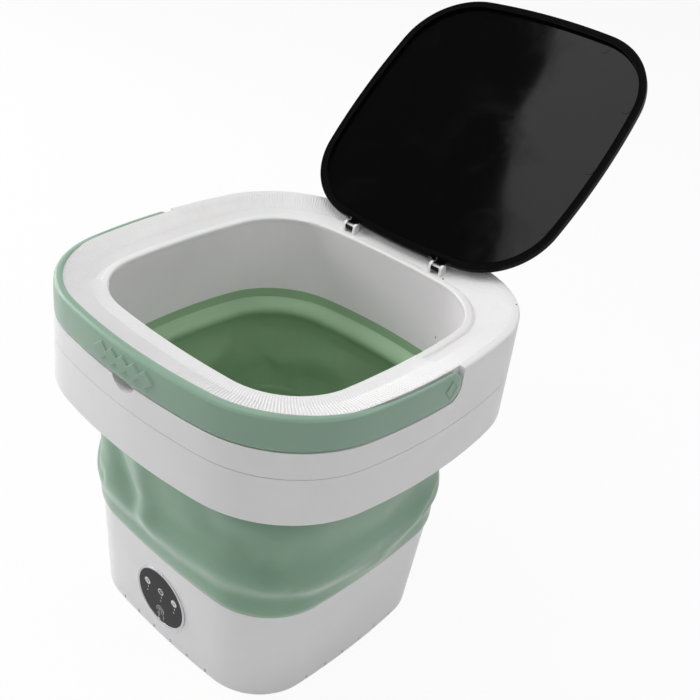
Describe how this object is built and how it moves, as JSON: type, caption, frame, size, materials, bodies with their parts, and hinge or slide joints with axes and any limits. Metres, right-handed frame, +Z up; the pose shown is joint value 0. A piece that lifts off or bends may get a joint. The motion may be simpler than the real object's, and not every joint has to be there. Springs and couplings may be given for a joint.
{
  "type": "foldable washing machine",
  "caption": "Small folding washing machine: a white base with drive and touch panel, a soft green bellows tub, a wide rim with a swing handle and a hinged black lid.",
  "frame": {"origin": "on the floor under the middle of the base", "axes": "+Z up, -Y the front with the touch panel, +Y the side where the lid is hinged, +X to the right seen from the front"},
  "size_m": [0.332, 0.4912, 0.4964],
  "materials": {
    "shell_white": "satin moulded plastic",
    "handle_mint": "satin moulded plastic",
    "bellows_green": "smooth soft rubber",
    "lid_black": "polished moulded plastic",
    "panel_black": "gloss film over the touch keys",
    "bezel_silver": "silver coated plastic",
    "board_green": "circuit board",
    "tub_green": "satin moulded plastic",
    "impeller_green": "satin moulded plastic",
    "inner_plastic": "plain moulded plastic",
    "screw_steel": "zinc plated steel",
    "bearing_steel": "ground steel",
    "plate_steel": "pressed steel plate",
    "motor_can": "painted steel can",
    "foot_rubber": "matt rubber",
    "belt_rubber": "matt rubber",
    "plug_rubber": "soft rubber"
  },
  "bodies": {
    "base": {"base_housing": "shell_white", "tub_pan": "tub_green", "bottom_cover": "shell_white", "bottom_screws": "screw_steel", "rubber_feet": "foot_rubber", "bellows": "bellows_green", "bearing_housing": "inner_plastic", "shaft_bearings": "bearing_steel", "shaft_seal": "foot_rubber", "bearing_screws": "screw_steel", "motor_bracket": "plate_steel", "motor_screws": "screw_steel", "drive_motor": "motor_can", "drive_belt": "belt_rubber", "control_board": "board_green", "panel_bezel": "bezel_silver", "touch_panel": "panel_black", "power_jack": "inner_plastic", "drain_spigot": "inner_plastic"},
    "rim": {"rim_frame": "shell_white", "rim_skirt": "shell_white", "inner_collar": "shell_white", "collar_screws": "screw_steel", "bellows_clamp": "shell_white"},
    "lid": {"lid": "lid_black"},
    "handle": {"handle": "handle_mint", "handle_clips": "inner_plastic"},
    "impeller": {"impeller": "impeller_green", "impeller_screw": "screw_steel", "drive_shaft": "bearing_steel", "drive_pulley": "inner_plastic", "pulley_nut": "screw_steel"},
    "motor_rotor": {"motor_core": "plate_steel", "motor_shaft": "bearing_steel", "motor_pulley": "inner_plastic"},
    "drain_plug": {"drain_plug": "plug_rubber"}
  },
  "joints": [
    {"name": "rim_fold", "type": "slide", "parent": "base", "child": "rim", "axis": [0, 0, -1], "range_m": [0, 0.13], "deforming": ["bellows"]},
    {"name": "lid_hinge", "type": "hinge", "parent": "rim", "child": "lid", "pos_m": [0, 0.1325, 0.3144], "axis": [1, 0, 0], "range_deg": [0, 137]},
    {"name": "handle_hinge", "type": "hinge", "parent": "rim", "child": "handle", "pos_m": [0, 0, 0.3058], "axis": [-1, 0, 0], "range_deg": [0, 90]},
    {"name": "impeller_spin", "type": "hinge", "parent": "base", "child": "impeller", "pos_m": [0, 0, 0.06], "axis": [0, 0, 1], "continuous": true},
    {"name": "motor_spin", "type": "hinge", "parent": "base", "child": "motor_rotor", "pos_m": [0, 0.074, 0.02], "axis": [0, 0, 1], "continuous": true},
    {"name": "plug_pull", "type": "slide", "parent": "base", "child": "drain_plug", "axis": [0, 1, 0], "range_m": [0, 0.015]}
  ],
  "couplings": [
    {"joint": "motor_spin", "follows": "impeller_spin", "ratio": 5.4286}
  ]
}
